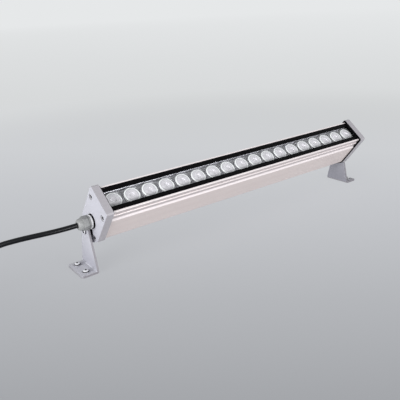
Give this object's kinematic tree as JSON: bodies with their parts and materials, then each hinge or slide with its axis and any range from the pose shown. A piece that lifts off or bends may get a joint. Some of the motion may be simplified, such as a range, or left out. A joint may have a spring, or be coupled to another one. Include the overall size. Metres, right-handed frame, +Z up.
{
  "type": "outdoor wall washer light",
  "caption": "Linear outdoor wall washer: an aluminium profile lamp with a glass window over a row of lenses, which tilts between two bent foot brackets.",
  "frame": {"origin": "on the mounting surface, at the middle of the four foot holes", "axes": "+X along the lamp, from the cable end to the blind end; +Z up, away from the mounting surface; the window leans towards -Y"},
  "size_m": [0.844, 0.1051, 0.1267],
  "materials": {
    "housing": "anodised, matt",
    "cap": "powder coated, matt",
    "bracket": "powder coated, matt",
    "glass": "clear toughened",
    "black_seal": "satin black",
    "gasket": "matt black",
    "board": "matt",
    "emitter": "gloss",
    "holder": "matt",
    "lens": "clear moulded acrylic",
    "driver": "matt",
    "thermal_pad": "matt",
    "steel": "satin stainless",
    "brass": "satin",
    "tinned": "tinned",
    "gland_plastic": "satin",
    "lead_rubber": "matt black",
    "core_insulation": "gloss"
  },
  "bodies": {
    "luminaire": {"housing": "housing", "window_glass": "glass", "seal_strip_front": "black_seal", "seal_strip_back": "black_seal", "led_board": "board", "led_emitters": "emitter", "lens_holders": "holder", "board_screws": "steel", "lens_01": "lens", "lens_02": "lens", "lens_03": "lens", "lens_04": "lens", "lens_05": "lens", "lens_06": "lens", "lens_07": "lens", "lens_08": "lens", "lens_09": "lens", "lens_10": "lens", "lens_11": "lens", "lens_12": "lens", "lens_13": "lens", "lens_14": "lens", "lens_15": "lens", "lens_16": "lens", "lens_17": "lens", "lens_18": "lens", "driver_case": "driver", "driver_pad": "thermal_pad", "driver_screws": "steel", "input_cores": "core_insulation", "output_wires": "core_insulation", "earth_core": "core_insulation", "earth_tag": "tinned", "earth_screw": "brass", "end_cap_cable_end": "cap", "end_cap_blind_end": "cap", "gasket_cable_end": "gasket", "gasket_blind_end": "gasket", "cap_screws_cable_end": "steel", "cap_screws_blind_end": "steel", "gland_washer": "gasket", "gland_body": "gland_plastic", "gland_nut": "gland_plastic", "gland_seal": "gasket", "gland_locknut": "gland_plastic", "pivot_spacer_cable_end": "gasket", "pivot_spacer_blind_end": "gasket", "pivot_bolt_cable_end": "steel", "pivot_bolt_blind_end": "steel", "lead_inner": "lead_rubber", "lead": "lead_rubber", "lead_coil": "lead_rubber", "lead_cores": "core_insulation", "core_ferrules": "tinned"},
    "bracket_cable_end": {"bracket_cable_end": "bracket"},
    "bracket_blind_end": {"bracket_blind_end": "bracket"}
  },
  "joints": [
    {"name": "tilt_cable_end", "type": "hinge", "parent": "luminaire", "child": "bracket_cable_end", "pos_m": [-0.2675, 0, 0.057], "axis": [1, 0, 0], "range_deg": [-52, 128]},
    {"name": "tilt_blind_end", "type": "hinge", "parent": "luminaire", "child": "bracket_blind_end", "pos_m": [0.2675, 0, 0.057], "axis": [1, 0, 0], "range_deg": [-52, 128]}
  ]
}
